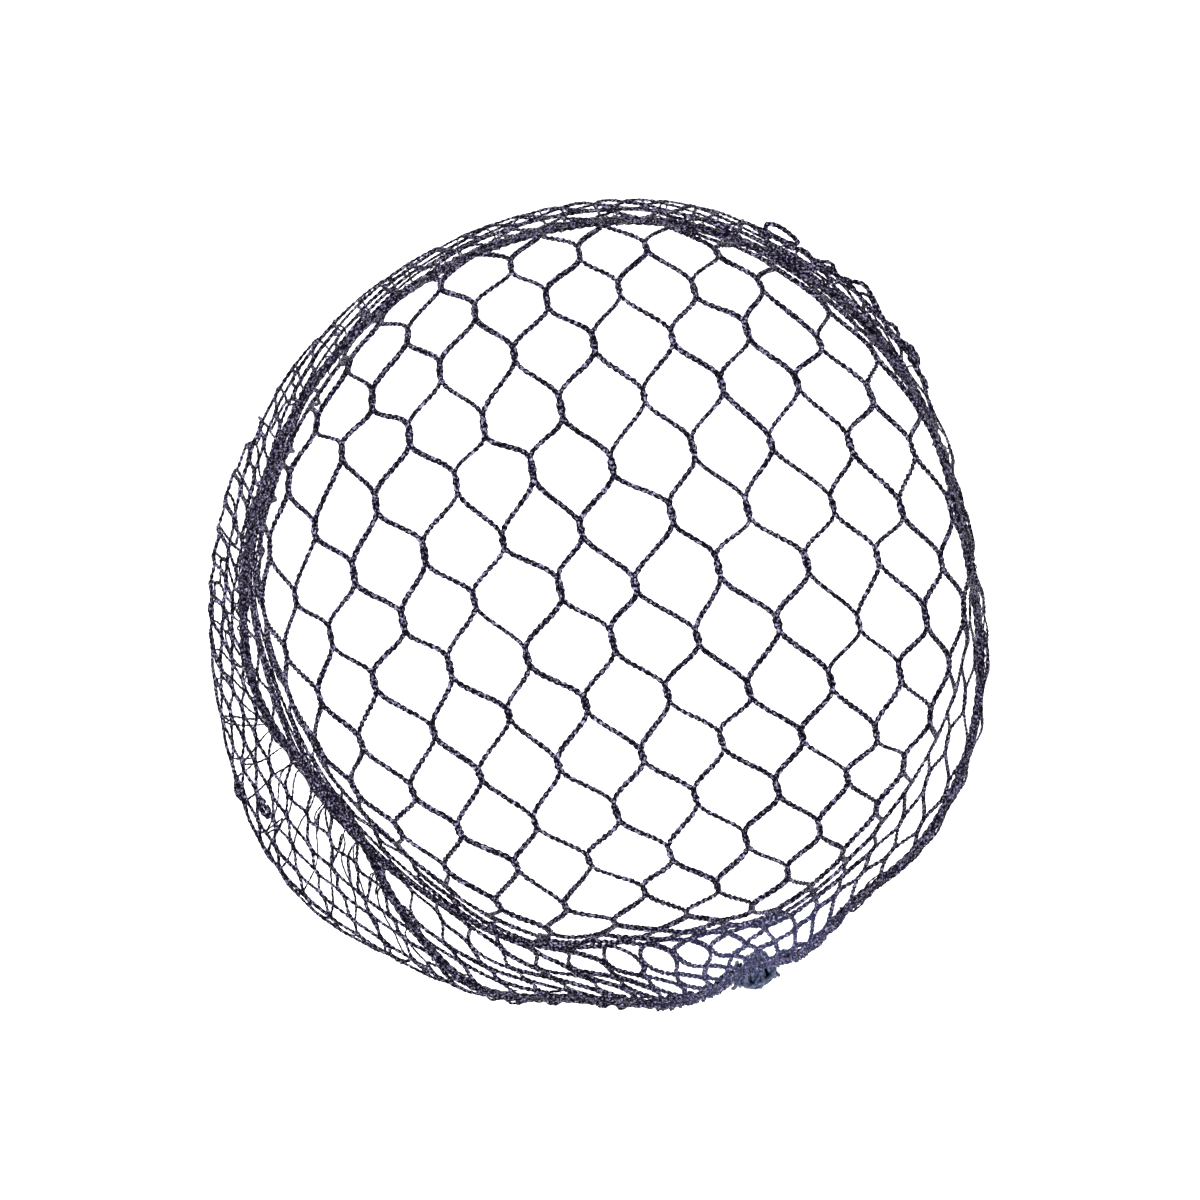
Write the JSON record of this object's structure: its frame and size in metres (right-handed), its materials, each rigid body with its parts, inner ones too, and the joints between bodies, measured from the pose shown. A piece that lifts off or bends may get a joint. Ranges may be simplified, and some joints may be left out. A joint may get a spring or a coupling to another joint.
{
  "type": "bun hair net, in worn form",
  "caption": "Fine open-mesh net bag for a hair bun, domed front, creased side tier, gathered on a round elastic edge with a knot.",
  "frame": {"origin": "centre of the plane of the elastic edge, where the net sits on the head around the bun", "axes": "+Z along the bun, away from the head, to the front of the net; +Y up as worn in the picture; +X to the viewer's right"},
  "size_m": [0.0818, 0.0853, 0.0464],
  "materials": {
    "net_cord": "chain-stitched nylon, slight sheen",
    "elastic": "yarn-covered elastic, matt",
    "knot_cord": "bunched nylon, slight sheen"
  },
  "bodies": {
    "root": {"net": "net_cord", "elastic_edge": "elastic", "gather_knot": "knot_cord"}
  },
  "joints": []
}
